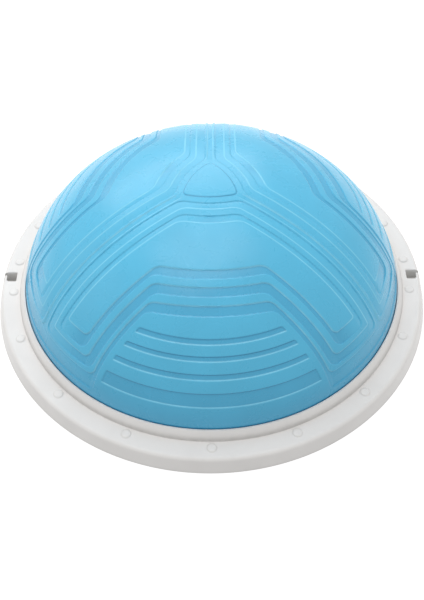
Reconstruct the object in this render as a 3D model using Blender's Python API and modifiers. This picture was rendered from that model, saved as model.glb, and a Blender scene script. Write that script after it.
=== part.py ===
# Inflatable balance dome on a moulded platform. An air-filled PVC half ball has a flanged edge, which is
# clamped between a white ring and a base plate by screws from below. Metres, +Z up, standing on the floor
# at z = 0, centred on the Z axis. The two notches for resistance bands lie just behind the X axis.
import math

import bmesh
import bpy
from mathutils import Matrix, Vector

OBJECT_NAME = "balance_dome"
TURN_STEPS = 64              # facets round the dome and the ring
HIDDEN_STEPS = 48            # facets round the plate and the seal under them
SMOOTH_ANGLE = math.radians(30)
GAP = 0.0003                 # clearance between pieces that touch

# feet and heights
FOOT_RADIUS = 0.010
FOOT_CHAMFER = 0.0015
FOOT_DROP = 0.004            # how far the feet stand out below the ring
FOOT_SOCKET_DEPTH = 0.0012
FOOT_COUNT = 8
FOOT_CIRCLE = 0.256

# clamp ring, heights above its own lower edge
RING_Z = FOOT_DROP
RING_RADIUS = 0.300
RING_SKIN = 0.003
WALL_TOP_RADIUS = 0.2953
WALL_TOP_Z = 0.0205
SHELF_EDGE_RADIUS = 0.2908
SHELF_Z = 0.0225
COLLAR_FOOT_RADIUS = 0.2692
COLLAR_TOP_RADIUS = 0.2615
COLLAR_TOP_Z = 0.0362
COLLAR_BORE = 0.2598
SKIRT_RADIUS = 0.2665
SKIRT_Z = 0.0118             # lower edge of the skirt that presses on the dome's flange

# screws, their bosses under the shelf and the low caps above them
SCREW_CIRCLE = 0.2778
SCREW_STEP = math.radians(22.5)
NOTCH_ANGLE = math.radians(1.0)         # the notches lie this far behind the X axis
NOTCH_SCREW_ANGLE = math.radians(5.9)   # a pair stands this far to each side of a notch
CAP_RADIUS = 0.0072
CAP_HEIGHT = 0.0014
CAP_SINK = 0.0004
BOSS_RADIUS = 0.0045
BOSS_Z = 0.0058
PILOT_RADIUS = 0.0020
PILOT_TOP_Z = 0.0170
SHANK_RADIUS = 0.0016
SHANK_TOP_Z = 0.0160
HEAD_RADIUS = 0.0036
HEAD_THICKNESS = 0.0019

# band notches in the ring's rim
NOTCH_HALF_WIDTH = 0.008
NOTCH_INNER_RADIUS = 0.2768
NOTCH_Y = 0.0054             # middle of each notch, behind the X axis
NOTCH_WALL = 0.0028
MOUTH_WIDTH = 0.0047         # gap between the hook's tip and the notch's far wall

# base plate, heights above the ring's lower edge
PLATE_RADIUS = 0.2945
PLATE_Z = 0.0015
PLATE_TOP_Z = 0.0055
FIELD_Z = 0.0065             # underside of the raised field between the hub and the rim
FIELD_TOP_Z = 0.0092
PLATE_WALL = 0.0028
PLATE_HUB_RADIUS = 0.060
PLATE_RIM_RADIUS = 0.236
PLATE_HOOP_RADIUS = 0.148
RIB_WIDTH = 0.003
RIB_LIFT = 0.0003            # the ribs end a little above the hub's and rim's lower faces
RIB_COUNT = 12
COUNTERBORE_RADIUS = 0.0042

# dome shell: (r / radius) ** DOME_POWER_R + (z / rise) ** DOME_POWER_Z = 1 above its widest circle
DOME_RADIUS = 0.2593
DOME_RISE = 0.1803
DOME_EQUATOR_Z = 0.0287
DOME_POWER_R = 2.1
DOME_POWER_Z = 1.8
DOME_SKIN = 0.004
FLANGE_RADIUS = 0.2660
FLANGE_Z = 0.0075
FLANGE_THICKNESS = 0.004
SEAL_INNER_RADIUS = 0.2560
SEAL_OUTER_RADIUS = 0.2655

# air valve, low on the dome's back
VALVE_RADIUS_ON_DOME = 0.2405
VALVE_BODY_RADIUS = 0.0060
VALVE_FLANGE_RADIUS = 0.0100
VALVE_FLANGE_THICKNESS = 0.0016
VALVE_BORE = 0.0034
VALVE_CLEARANCE = 0.0007     # the round flange clears the curved skin
PLUG_STEM_RADIUS = 0.0030
PLUG_STEM_LENGTH = 0.0110
PLUG_CAP_RADIUS = 0.0072
PLUG_CAP_THICKNESS = 0.0022


def clear_scene():
    for obj in list(bpy.data.objects):
        bpy.data.objects.remove(obj, do_unlink=True)


def new_collection(name):
    group = bpy.data.collections.new(name)
    bpy.context.scene.collection.children.link(group)
    return group


def new_material(name, colour, roughness):
    mat = bpy.data.materials.new(name)
    mat.use_nodes = True
    shader = mat.node_tree.nodes["Principled BSDF"]
    shader.inputs["Base Color"].default_value = (*colour, 1.0)
    shader.inputs["Roughness"].default_value = roughness
    shader.inputs["Metallic"].default_value = 0.0
    mat.diffuse_color = (*colour, 1.0)
    return mat


clear_scene()
parts = new_collection(OBJECT_NAME)
cutters = new_collection("cutters")


def add_object(name, mesh, mat, group=parts):
    obj = bpy.data.objects.new(name, mesh)
    group.objects.link(obj)
    if mat and not mesh.materials:
        mesh.materials.append(mat)
    if group is cutters:
        obj.hide_render = True
        obj.display_type = "WIRE"
    return obj


def smooth(obj):
    obj.data.shade_smooth()
    obj.data.set_sharp_from_angle(angle=SMOOTH_ANGLE)


# A closed section, or a line that starts and ends on the axis, turned about Z. The points run down the
# outer side first. Each point is (radius, height).
def turned(name, section, mat, steps=TURN_STEPS, group=parts):
    touches_axis = section[0][0] == 0.0
    count = len(section)
    edges = [(i, i + 1) for i in range(count - 1)]
    if not touches_axis:
        edges.append((count - 1, 0))
    mesh = bpy.data.meshes.new(name)
    mesh.from_pydata([(r, 0.0, z) for r, z in section], edges, [])
    obj = add_object(name, mesh, mat, group)
    screw = obj.modifiers.new("turn", "SCREW")
    screw.axis = "Z"
    screw.steps = steps
    screw.render_steps = steps
    screw.use_merge_vertices = True
    screw.merge_threshold = 0.00001
    screw.use_smooth_shade = True
    return obj


# The evaluated mesh takes the place of a turned section, so that it can be placed or shared.
def apply_modifiers(obj):
    depsgraph = bpy.context.evaluated_depsgraph_get()
    mesh = bpy.data.meshes.new_from_object(obj.evaluated_get(depsgraph))
    obj.modifiers.clear()
    obj.data = mesh
    return obj


def boolean(target, tool, operation):
    mod = target.modifiers.new(tool.name, "BOOLEAN")
    mod.operation = operation
    mod.solver = "EXACT"
    mod.object = tool


# One tool mesh with a cylinder at each place, from z = low to z = high.
def cylinders(name, places, radius, low, high, segments=10):
    bm = bmesh.new()
    for x, y in places:
        at = Matrix.Translation((x, y, (low + high) / 2))
        bmesh.ops.create_cone(bm, cap_ends=True, segments=segments, radius1=radius, radius2=radius,
                              depth=high - low, matrix=at)
    mesh = bpy.data.meshes.new(name)
    bm.to_mesh(mesh)
    bm.free()
    return add_object(name, mesh, None, cutters)


# Boxes that each reach from low to high before they are turned about Z by their angle.
def boxes(name, angles, low, high):
    bm = bmesh.new()
    size = Vector(high) - Vector(low)
    centre = (Vector(high) + Vector(low)) / 2
    for angle in angles:
        at = Matrix.Rotation(angle, 4, "Z") @ Matrix.Translation(centre) @ Matrix.Diagonal((*size, 1.0))
        bmesh.ops.create_cube(bm, size=1.0, matrix=at)
    mesh = bpy.data.meshes.new(name)
    bm.to_mesh(mesh)
    bm.free()
    return add_object(name, mesh, None, cutters)


# A block at each notch, on the +X side and mirrored to the -X side. It reaches from x = inner to
# x = outer(z), so that its outer face can lean with the ring's wall.
def side_blocks(name, inner, outer, low, high, start_y, end_y):
    bm = bmesh.new()
    for side in (1, -1):
        for vert in bmesh.ops.create_cube(bm, size=1.0)["verts"]:
            z = high if vert.co.z > 0 else low
            x = outer(z) if vert.co.x > 0 else inner
            vert.co = Vector((side * x, end_y if vert.co.y > 0 else start_y, z))
    bmesh.ops.recalc_face_normals(bm, faces=bm.faces)
    mesh = bpy.data.meshes.new(name)
    bm.to_mesh(mesh)
    bm.free()
    return add_object(name, mesh, None, cutters)


# Radius of the ring's leaning wall at height z, moved inwards by depth.
def wall_radius(z, depth):
    lean = (RING_RADIUS - WALL_TOP_RADIUS) / WALL_TOP_Z
    return RING_RADIUS - depth - lean * (z - RING_Z)


def around(radius, angles):
    return [(radius * math.cos(a), radius * math.sin(a)) for a in angles]


# Every 22.5 degrees from the front, but a pair beside each notch near 0 and 180 degrees.
def screw_angles():
    front = -math.pi / 2
    angles = []
    for k in range(16):
        angle = front + k * SCREW_STEP
        if k in (4, 12):
            angle += NOTCH_ANGLE if k == 4 else -NOTCH_ANGLE
            angles += [angle - NOTCH_SCREW_ANGLE, angle + NOTCH_SCREW_ANGLE]
        else:
            angles.append(angle)
    return angles


def arc_points(centre, radius, start, end, count):
    angles = [math.radians(start + (end - start) * i / count) for i in range(count + 1)]
    return [(centre[0] + radius * math.cos(a), centre[1] + radius * math.sin(a)) for a in angles]


def lifted(section, height):
    return [(r, z + height) for r, z in section]


# Upper half of the dome's outline from the top down, as (radius, height above the widest circle).
def dome_outline(radius, rise, count):
    points = []
    for i in range(count + 1):
        t = math.pi / 2 * i / count
        r = radius * math.sin(t) ** (2 / DOME_POWER_R)
        z = rise * max(math.cos(t), 0.0) ** (2 / DOME_POWER_Z)
        points.append((r, z if i < count else 0.0))
    return points


white = new_material("white_plastic", (0.78, 0.80, 0.82), 0.35)
blue = new_material("blue_pvc", (0.115, 0.480, 0.720), 0.38)
black = new_material("black_rubber", (0.020, 0.021, 0.023), 0.75)
steel = new_material("zinc_steel", (0.60, 0.60, 0.61), 0.32)
steel.node_tree.nodes["Principled BSDF"].inputs["Metallic"].default_value = 1.0
grey = new_material("grey_plastic", (0.32, 0.34, 0.36), 0.45)


def build_dome():
    equator = RING_Z + DOME_EQUATOR_Z
    outer = lifted(dome_outline(DOME_RADIUS, DOME_RISE, 12), equator)
    inner_radius = DOME_RADIUS - DOME_SKIN
    inner = lifted(dome_outline(inner_radius, DOME_RISE - DOME_SKIN, 8), equator)
    low = RING_Z + FLANGE_Z
    high = low + FLANGE_THICKNESS
    flange = [(DOME_RADIUS, high), (FLANGE_RADIUS, high), (FLANGE_RADIUS, low), (inner_radius, low)]
    dome = turned("dome_bladder", outer + flange + inner[::-1], blue)
    boolean(dome, valve_tool(), "DIFFERENCE")
    return dome


def build_ring():
    inner_wall = RING_RADIUS - RING_SKIN
    under = SHELF_Z - RING_SKIN
    lip = arc_points((COLLAR_BORE + 0.0010, COLLAR_TOP_Z - 0.0010), 0.0010, 180, 45, 2)
    edge_centre = (SHELF_EDGE_RADIUS, SHELF_Z - 0.0046)
    section = lip + [
        (COLLAR_TOP_RADIUS + 0.0006, COLLAR_TOP_Z - 0.0014),
        (COLLAR_FOOT_RADIUS - 0.0012, SHELF_Z + 0.0014),
        (COLLAR_FOOT_RADIUS, SHELF_Z),
        (SHELF_EDGE_RADIUS, SHELF_Z),
    ]
    section += arc_points(edge_centre, 0.0046, 60, 15, 2)
    section += [
        (RING_RADIUS, 0.0),
        (inner_wall, 0.0),
        (WALL_TOP_RADIUS - RING_SKIN, under - 0.0012),
        (WALL_TOP_RADIUS - RING_SKIN - 0.0012, under),
        (SKIRT_RADIUS, under),
        (SKIRT_RADIUS, SKIRT_Z),
        (COLLAR_BORE, SKIRT_Z),
    ]
    ring = turned("clamp_ring", lifted(section, RING_Z), white)

    places = around(SCREW_CIRCLE, screw_angles())
    boolean(ring, cap_tool(places), "UNION")
    shelf_middle = RING_Z + SHELF_Z - RING_SKIN / 2
    bosses = cylinders("boss_tool", places, BOSS_RADIUS, RING_Z + BOSS_Z, shelf_middle)
    boolean(ring, bosses, "UNION")
    pilots = cylinders("pilot_tool", places, PILOT_RADIUS, RING_Z, RING_Z + PILOT_TOP_Z, 8)
    boolean(ring, pilots, "DIFFERENCE")

    # pocket walls round each notch, then the notch itself, then its mouth through the rim
    start, end = NOTCH_Y - NOTCH_HALF_WIDTH, NOTCH_Y + NOTCH_HALF_WIDTH
    low, high = RING_Z - 0.005, RING_Z + SHELF_Z + 0.005
    pocket = side_blocks("pocket_tool", NOTCH_INNER_RADIUS - NOTCH_WALL,
                         lambda z: wall_radius(z, RING_SKIN / 2),
                         RING_Z + BOSS_Z, shelf_middle, start - NOTCH_WALL, end + NOTCH_WALL)
    boolean(ring, pocket, "UNION")
    notch = side_blocks("notch_tool", NOTCH_INNER_RADIUS, lambda z: wall_radius(z, RING_SKIN),
                        low, high, start, end)
    boolean(ring, notch, "DIFFERENCE")
    mouth = side_blocks("mouth_tool", RING_RADIUS - 3 * RING_SKIN, lambda z: RING_RADIUS + RING_SKIN,
                        low, high, end - MOUTH_WIDTH, end)
    boolean(ring, mouth, "DIFFERENCE")
    return ring


# Low round caps over the screw bosses: flattened balls sunk into the shelf.
def cap_tool(places):
    bm = bmesh.new()
    for x, y in places:
        at = Matrix.Translation((x, y, RING_Z + SHELF_Z - CAP_SINK))
        flat = Matrix.Diagonal((CAP_RADIUS, CAP_RADIUS, CAP_HEIGHT + CAP_SINK, 1.0))
        bmesh.ops.create_uvsphere(bm, u_segments=12, v_segments=6, radius=1.0, matrix=at @ flat)
    mesh = bpy.data.meshes.new("cap_tool")
    bm.to_mesh(mesh)
    bm.free()
    return add_object("cap_tool", mesh, None, cutters)


def build_plate():
    bottom = PLATE_Z
    rib_bottom = bottom + RIB_LIFT
    hoop = RIB_WIDTH / 2
    hub_top = bottom + PLATE_WALL
    section = [
        (0.0, hub_top),
        (PLATE_HUB_RADIUS - PLATE_WALL, hub_top),
        (PLATE_HUB_RADIUS - PLATE_WALL, FIELD_TOP_Z),
        (PLATE_RIM_RADIUS + PLATE_WALL, FIELD_TOP_Z),
        (PLATE_RIM_RADIUS + PLATE_WALL, PLATE_TOP_Z),
        (PLATE_RADIUS - 0.0005, PLATE_TOP_Z),
        (PLATE_RADIUS, PLATE_TOP_Z - 0.0005),
        (PLATE_RADIUS, bottom + 0.0005),
        (PLATE_RADIUS - 0.0005, bottom),
        (PLATE_RIM_RADIUS, bottom),
        (PLATE_RIM_RADIUS, FIELD_Z),
        (PLATE_HOOP_RADIUS + hoop, FIELD_Z),
        (PLATE_HOOP_RADIUS + hoop, rib_bottom),
        (PLATE_HOOP_RADIUS - hoop, rib_bottom),
        (PLATE_HOOP_RADIUS - hoop, FIELD_Z),
        (PLATE_HUB_RADIUS, FIELD_Z),
        (PLATE_HUB_RADIUS, bottom),
        (0.0, bottom),
    ]
    plate = turned("base_plate", lifted(section, RING_Z), white, HIDDEN_STEPS)

    spokes = [2 * math.pi * (k + 0.5) / RIB_COUNT for k in range(RIB_COUNT)]
    low = RING_Z + rib_bottom + RIB_LIFT
    high = RING_Z + (FIELD_Z + FIELD_TOP_Z) / 2
    ribs = boxes("rib_tool", spokes, (PLATE_HUB_RADIUS - PLATE_WALL / 2, -hoop, low),
                 (PLATE_RIM_RADIUS + PLATE_WALL / 2, hoop, high))
    boolean(plate, ribs, "UNION")

    places = around(SCREW_CIRCLE, screw_angles())
    floor = RING_Z + bottom + HEAD_THICKNESS + 2 * GAP
    boolean(plate, cylinders("counterbore_tool", places, COUNTERBORE_RADIUS, RING_Z, floor), "DIFFERENCE")
    clear = cylinders("shank_hole_tool", places, PILOT_RADIUS, RING_Z, RING_Z + BOSS_Z + GAP, 8)
    boolean(plate, clear, "DIFFERENCE")

    socket_top = RING_Z + bottom + FOOT_SOCKET_DEPTH
    sockets = cylinders("socket_tool", foot_places(), FOOT_RADIUS + 3 * GAP, RING_Z, socket_top, 16)
    boolean(plate, sockets, "DIFFERENCE")

    half = NOTCH_HALF_WIDTH + GAP
    slot = side_blocks("plate_slot_tool", NOTCH_INNER_RADIUS - GAP, lambda z: RING_RADIUS + RING_SKIN,
                       0.0, RING_Z + SHELF_Z, NOTCH_Y - half, NOTCH_Y + half)
    boolean(plate, slot, "DIFFERENCE")
    return plate


def foot_places():
    return around(FOOT_CIRCLE, [2 * math.pi * (k + 0.5) / FOOT_COUNT for k in range(FOOT_COUNT)])


def build_feet():
    top = RING_Z + PLATE_Z + FOOT_SOCKET_DEPTH - GAP
    section = [
        (0.0, top),
        (FOOT_RADIUS, top),
        (FOOT_RADIUS, FOOT_CHAMFER),
        (FOOT_RADIUS - FOOT_CHAMFER, 0.0),
        (0.0, 0.0),
    ]
    feet = []
    for number, (x, y) in enumerate(foot_places(), 1):
        if not feet:
            foot = apply_modifiers(turned("foot_1", section, black, steps=16))
        else:
            foot = add_object(f"foot_{number}", feet[0].data, black)
        foot.location = (x, y, 0.0)
        feet.append(foot)
    return feet


def build_seal():
    low = PLATE_TOP_Z + GAP
    high = FLANGE_Z - GAP
    section = [(SEAL_OUTER_RADIUS, high), (SEAL_OUTER_RADIUS, low), (SEAL_INNER_RADIUS, low),
               (SEAL_INNER_RADIUS, high)]
    return turned("seal_ring", lifted(section, RING_Z), black, HIDDEN_STEPS)


# A pan-head screw that points up.
def build_screws():
    head_low = 0.0
    head_high = HEAD_THICKNESS
    tip = SHANK_TOP_Z - PLATE_Z - GAP
    section = [
        (0.0, tip),
        (SHANK_RADIUS, tip - SHANK_RADIUS * 1.8),
        (SHANK_RADIUS, head_high),
        (HEAD_RADIUS, head_high),
        (HEAD_RADIUS, head_low + 0.0007),
        (HEAD_RADIUS - 0.0007, head_low),
        (0.0, head_low),
    ]
    first = apply_modifiers(turned("screw_01", section, steel, steps=8))
    screws = [first]
    for number in range(2, len(screw_angles()) + 1):
        screws.append(add_object(f"screw_{number:02d}", first.data, steel))
    for screw, angle in zip(screws, screw_angles()):
        x, y = around(SCREW_CIRCLE, [angle])[0]
        screw.location = (x, y, RING_Z + PLATE_Z + GAP)
        screw.rotation_euler = (0.0, 0.0, angle)
    return screws


# Place on the dome's skin for the valve, with Z along the skin's outward normal.
def valve_matrix():
    share = VALVE_RADIUS_ON_DOME / DOME_RADIUS
    rest = 1 - share ** DOME_POWER_R
    height = DOME_RISE * rest ** (1 / DOME_POWER_Z)
    fall = (DOME_RISE * DOME_POWER_R / (DOME_POWER_Z * DOME_RADIUS)
            * share ** (DOME_POWER_R - 1) * rest ** (1 / DOME_POWER_Z - 1))
    normal = Vector((0.0, fall, 1.0)).normalized()
    at = Vector((0.0, VALVE_RADIUS_ON_DOME, RING_Z + DOME_EQUATOR_Z + height))
    return Matrix.Translation(at) @ normal.to_track_quat("Z", "Y").to_matrix().to_4x4()


def valve_tool():
    tool = cylinders("valve_hole_tool", [(0.0, 0.0)], VALVE_BODY_RADIUS + 3 * GAP, -0.02, 0.02, 16)
    tool.matrix_world = valve_matrix()
    return tool


# A rubber bush through the skin, with a flange outside and another inside, and the plug in its bore.
def build_valve():
    outside = VALVE_CLEARANCE
    inside = -DOME_SKIN - 2 * VALVE_CLEARANCE
    top = outside + VALVE_FLANGE_THICKNESS
    bottom = inside - VALVE_FLANGE_THICKNESS
    seat_section = [
        (VALVE_BORE + 0.0006, top),
        (VALVE_FLANGE_RADIUS - 0.0008, top),
        (VALVE_FLANGE_RADIUS, outside),
        (VALVE_BODY_RADIUS, outside),
        (VALVE_BODY_RADIUS, inside),
        (VALVE_FLANGE_RADIUS * 0.85, inside),
        (VALVE_FLANGE_RADIUS * 0.80, bottom),
        (VALVE_BORE, bottom),
        (VALVE_BORE, top - 0.0006),
    ]
    seat = apply_modifiers(turned("valve_seat", seat_section, blue, steps=16))
    seat.matrix_world = valve_matrix()

    cap_low = top + GAP
    cap_high = cap_low + PLUG_CAP_THICKNESS
    stem_end = cap_low - PLUG_STEM_LENGTH
    plug_section = [
        (0.0, cap_high),
        (PLUG_CAP_RADIUS - 0.0006, cap_high),
        (PLUG_CAP_RADIUS, cap_high - 0.0006),
        (PLUG_CAP_RADIUS, cap_low),
        (PLUG_STEM_RADIUS, cap_low),
        (PLUG_STEM_RADIUS, stem_end + 0.001),
        (PLUG_STEM_RADIUS - 0.001, stem_end),
        (0.0, stem_end),
    ]
    plug = apply_modifiers(turned("valve_plug", plug_section, grey, steps=16))
    plug.matrix_world = valve_matrix()
    return seat, plug


dome = build_dome()
ring = build_ring()
plate = build_plate()
seal = build_seal()
screws = build_screws()
feet = build_feet()
valve_seat, valve_plug = build_valve()

for part in (dome, ring, plate, seal, screws[0], feet[0], valve_seat, valve_plug):
    smooth(part)
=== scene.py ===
import math

import bmesh
import bpy
import numpy as np
from mathutils import Matrix, Vector


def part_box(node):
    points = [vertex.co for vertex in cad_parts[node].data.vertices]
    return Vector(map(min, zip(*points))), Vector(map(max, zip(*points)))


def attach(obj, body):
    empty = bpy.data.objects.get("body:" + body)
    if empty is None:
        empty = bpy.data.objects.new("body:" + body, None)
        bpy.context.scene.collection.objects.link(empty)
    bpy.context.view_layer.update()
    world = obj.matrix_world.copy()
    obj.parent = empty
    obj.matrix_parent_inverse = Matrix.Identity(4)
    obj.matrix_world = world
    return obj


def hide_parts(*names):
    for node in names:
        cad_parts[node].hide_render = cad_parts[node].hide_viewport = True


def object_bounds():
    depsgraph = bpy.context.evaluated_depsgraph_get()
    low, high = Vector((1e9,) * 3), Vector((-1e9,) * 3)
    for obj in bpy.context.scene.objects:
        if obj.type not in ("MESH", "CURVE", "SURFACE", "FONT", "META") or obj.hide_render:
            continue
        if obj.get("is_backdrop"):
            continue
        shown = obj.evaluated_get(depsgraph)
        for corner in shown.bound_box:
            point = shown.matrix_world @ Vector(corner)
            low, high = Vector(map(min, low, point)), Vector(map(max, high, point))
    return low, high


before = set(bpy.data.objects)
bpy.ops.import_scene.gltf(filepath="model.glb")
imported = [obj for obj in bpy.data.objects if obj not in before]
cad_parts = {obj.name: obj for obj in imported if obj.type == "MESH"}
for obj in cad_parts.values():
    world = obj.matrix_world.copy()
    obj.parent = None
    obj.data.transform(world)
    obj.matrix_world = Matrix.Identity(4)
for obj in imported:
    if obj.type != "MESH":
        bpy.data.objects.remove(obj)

cadLow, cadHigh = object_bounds()
scene = bpy.context.scene
mm = 0.001

# camera first
# distance in metres from the aim point, angles in degrees, aim as a share of the object's height
viewpoint = {
    "lens": 59.94,
    "distance": 1.3597,
    "elevation": 46.38,
    "turn": 0.41,
    "roll": -0.72,
    "aim": 0.489,
    "shiftX": 0.002,
    "shiftY": -0.0995,
}


def makeCamera(settings):
    lens = bpy.data.cameras.new("camera")
    lens.lens = settings["lens"]
    lens.shift_x = settings["shiftX"]
    lens.shift_y = settings["shiftY"]
    camera = bpy.data.objects.new("camera", lens)
    scene.collection.objects.link(camera)
    lift = math.radians(settings["elevation"])
    turn = math.radians(settings["turn"])
    aim = Vector((0.0, 0.0, cadHigh.z * settings["aim"]))
    back = Matrix.Rotation(turn, 3, "Z") @ Vector((0.0, -math.cos(lift), math.sin(lift)))
    tilt = Matrix.Rotation(turn, 4, "Z") @ Matrix.Rotation(math.pi / 2 - lift, 4, "X")
    roll = Matrix.Rotation(math.radians(settings["roll"]), 4, "Z")
    camera.matrix_world = Matrix.Translation(aim + back * settings["distance"]) @ tilt @ roll
    scene.camera = camera


makeCamera(viewpoint)
print("camera set")


# helpers for materials
def hexColour(code):
    shares = [int(code[i:i + 2], 16) / 255 for i in (1, 3, 5)]
    return tuple(s / 12.92 if s <= 0.04045 else ((s + 0.055) / 1.055) ** 2.4 for s in shares) + (1.0,)


# pattern repeats per metre for a feature of this many millimetres
def perMetre(size):
    return 1000.0 / size


# one node with its settings; an input is either a value or the output that feeds it
def addNode(mat, kind, inputs=None, **settings):
    tree = mat.node_tree
    node = tree.nodes.new(kind)
    for name, value in settings.items():
        setattr(node, name, value)
    for socket, value in (inputs or {}).items():
        if isinstance(value, bpy.types.NodeSocket):
            tree.links.new(value, node.inputs[socket])
        else:
            node.inputs[socket].default_value = value
    return node


# a Principled material with its constant sockets set; returns it with its shader and object coordinates
def startMaterial(name, **sockets):
    mat = bpy.data.materials.new(name)
    mat.use_nodes = True
    shader = mat.node_tree.nodes["Principled BSDF"]
    for socket, value in sockets.items():
        shader.inputs[socket.replace("_", " ")].default_value = value
    where = addNode(mat, "ShaderNodeTexCoord").outputs["Object"]
    return mat, shader, where


def link(mat, output, target):
    mat.node_tree.links.new(output, target)


# PVC, plasticised, shell moulded in a lightly blasted mould: a satin skin with a wide soft highlight and
# very fine grain, painted shade at the wall feet, in the channel floors, round the plate and toward the
# ring, and a painted highlight along the soft walls' upper edges
vinyl = {
    "colour": "#54BAE0",
    # the next two colours are the painted shade and the painted highlight
    "paintedCreaseShade": "#2A82B2",
    "paintedHighlight": "#90DCF4",
    "roughness": 0.28,
    "grain": 1.6,        # mm; the real grain is about 0.3 mm, too fine to show
    "mottle": 55.0,
    "smear": 24.0,
}


def mouldedVinyl(look):
    mat, shader, where = startMaterial("moulded_satin_vinyl", Roughness=look["roughness"], IOR=1.52,
                                       Specular_IOR_Level=0.5, Sheen_Weight=0.06, Sheen_Roughness=0.4)
    mottle = addNode(mat, "ShaderNodeTexNoise",
                     {"Vector": where, "Scale": perMetre(look["mottle"]), "Detail": 3.0, "Roughness": 0.5})
    smear = addNode(mat, "ShaderNodeTexNoise",
                    {"Vector": where, "Scale": perMetre(look["smear"]), "Detail": 5.0, "Distortion": 0.6})
    grain = addNode(mat, "ShaderNodeTexNoise",
                    {"Vector": where, "Scale": perMetre(look["grain"]), "Detail": 2.0})
    paintedCreaseShade = addNode(mat, "ShaderNodeAttribute", attribute_name="paintedCreaseShade")
    edge = addNode(mat, "ShaderNodeAttribute", attribute_name="paintedHighlightEdge")

    # painted shade: the darker colour is mixed in where the mesh layer marks shade
    base = addNode(mat, "ShaderNodeMix", {"Factor": paintedCreaseShade.outputs["Fac"], "A": hexColour(look["colour"]),
                                          "B": hexColour(look["paintedCreaseShade"])}, data_type="RGBA")
    # painted highlight: the paler colour is mixed in along the marked wall edges, broken up by noise
    highlightBreakup = addNode(mat, "ShaderNodeMapRange",
                   {"Value": smear.outputs["Fac"], "From Min": 0.3, "From Max": 0.7,
                    "To Min": 0.5, "To Max": 0.9})
    paintedHighlight = addNode(mat, "ShaderNodeMath", {0: edge.outputs["Fac"], 1: highlightBreakup.outputs[0]},
                     operation="MULTIPLY")
    withPaintedHighlight = addNode(mat, "ShaderNodeMix", {"Factor": paintedHighlight.outputs[0], "A": base.outputs["Result"],
                                              "B": hexColour(look["paintedHighlight"])}, data_type="RGBA")
    shade = addNode(mat, "ShaderNodeMapRange",
                    {"Value": mottle.outputs["Fac"], "From Min": 0.3, "From Max": 0.7,
                     "To Min": 0.965, "To Max": 1.03})
    colour = addNode(mat, "ShaderNodeHueSaturation", {"Value": shade.outputs[0],
                                                      "Color": withPaintedHighlight.outputs["Result"]})
    link(mat, colour.outputs[0], shader.inputs["Base Color"])

    satin = addNode(mat, "ShaderNodeMapRange",
                    {"Value": smear.outputs["Fac"], "From Min": 0.3, "From Max": 0.7,
                     "To Min": look["roughness"] - 0.04, "To Max": look["roughness"] + 0.05})
    duller = addNode(mat, "ShaderNodeMath", {0: paintedHighlight.outputs[0], 1: 0.3, 2: satin.outputs[0]},
                     operation="MULTIPLY_ADD")
    link(mat, duller.outputs[0], shader.inputs["Roughness"])
    bump = addNode(mat, "ShaderNodeBump", {"Height": grain.outputs["Fac"], "Strength": 0.1,
                                           "Distance": 0.01 * mm})
    link(mat, bump.outputs[0], shader.inputs["Normal"])
    return mat


# ABS, injection moulded with a fine spark texture: bright, semi-gloss, with faint flow clouds, and patchy
# painted shade on the collar toward its foot, round the caps, along the lower edge, in the notches and in
# the plate's recesses
whiteShell = {
    "colour": "#E8E6E4",
    "cloud": "#E3E1DF",
    # the colour of the painted shade
    "paintedShade": "#A9A7A3",
    "roughness": 0.42,
    "texture": 1.5,      # mm; a real spark texture is near 0.1 mm, too fine to show
    "flow": 70.0,
    "scuff": 9.0,
}


def mouldedWhite(look):
    mat, shader, where = startMaterial("spark_textured_white_abs", Roughness=look["roughness"], IOR=1.53)
    flow = addNode(mat, "ShaderNodeTexNoise",
                   {"Vector": where, "Scale": perMetre(look["flow"]), "Detail": 4.0, "Distortion": 0.8})
    scuff = addNode(mat, "ShaderNodeTexNoise",
                    {"Vector": where, "Scale": perMetre(look["scuff"]), "Detail": 6.0, "Roughness": 0.62})
    texture = addNode(mat, "ShaderNodeTexNoise",
                      {"Vector": where, "Scale": perMetre(look["texture"]), "Detail": 2.0})
    # painted shade, made patchy by noise, mixes in the darker colour
    paintedShadeMask = addNode(mat, "ShaderNodeAttribute", attribute_name="paintedShade")
    clouds = addNode(mat, "ShaderNodeMapRange",
                     {"Value": flow.outputs["Fac"], "From Min": 0.35, "From Max": 0.65})
    base = addNode(mat, "ShaderNodeMix", {"Factor": clouds.outputs[0], "A": hexColour(look["colour"]),
                                          "B": hexColour(look["cloud"])}, data_type="RGBA")
    patchy = addNode(mat, "ShaderNodeMapRange",
                     {"Value": scuff.outputs["Fac"], "From Min": 0.3, "From Max": 0.7,
                      "To Min": 0.45, "To Max": 0.7})
    paintedShade = addNode(mat, "ShaderNodeMath", {0: paintedShadeMask.outputs["Fac"], 1: patchy.outputs[0]},
                   operation="MULTIPLY")
    colour = addNode(mat, "ShaderNodeMix", {"Factor": paintedShade.outputs[0], "A": base.outputs["Result"],
                                            "B": hexColour(look["paintedShade"])}, data_type="RGBA")
    link(mat, colour.outputs["Result"], shader.inputs["Base Color"])
    satin = addNode(mat, "ShaderNodeMapRange",
                    {"Value": scuff.outputs["Fac"], "From Min": 0.3, "From Max": 0.7,
                     "To Min": look["roughness"] - 0.05, "To Max": look["roughness"] + 0.07})
    link(mat, satin.outputs[0], shader.inputs["Roughness"])
    bump = addNode(mat, "ShaderNodeBump", {"Height": texture.outputs["Fac"], "Strength": 0.12,
                                           "Distance": 0.05 * mm})
    link(mat, bump.outputs[0], shader.inputs["Normal"])
    return mat


# rubber compound, compression moulded: nearly black and dull, with a dusty bloom and a fine grain
blackRubber = {
    "colour": "#1C1D1E",
    "bloom": "#39393A",
    "roughness": 0.74,
    "grain": 0.9,
    "patch": 6.0,
}


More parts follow.
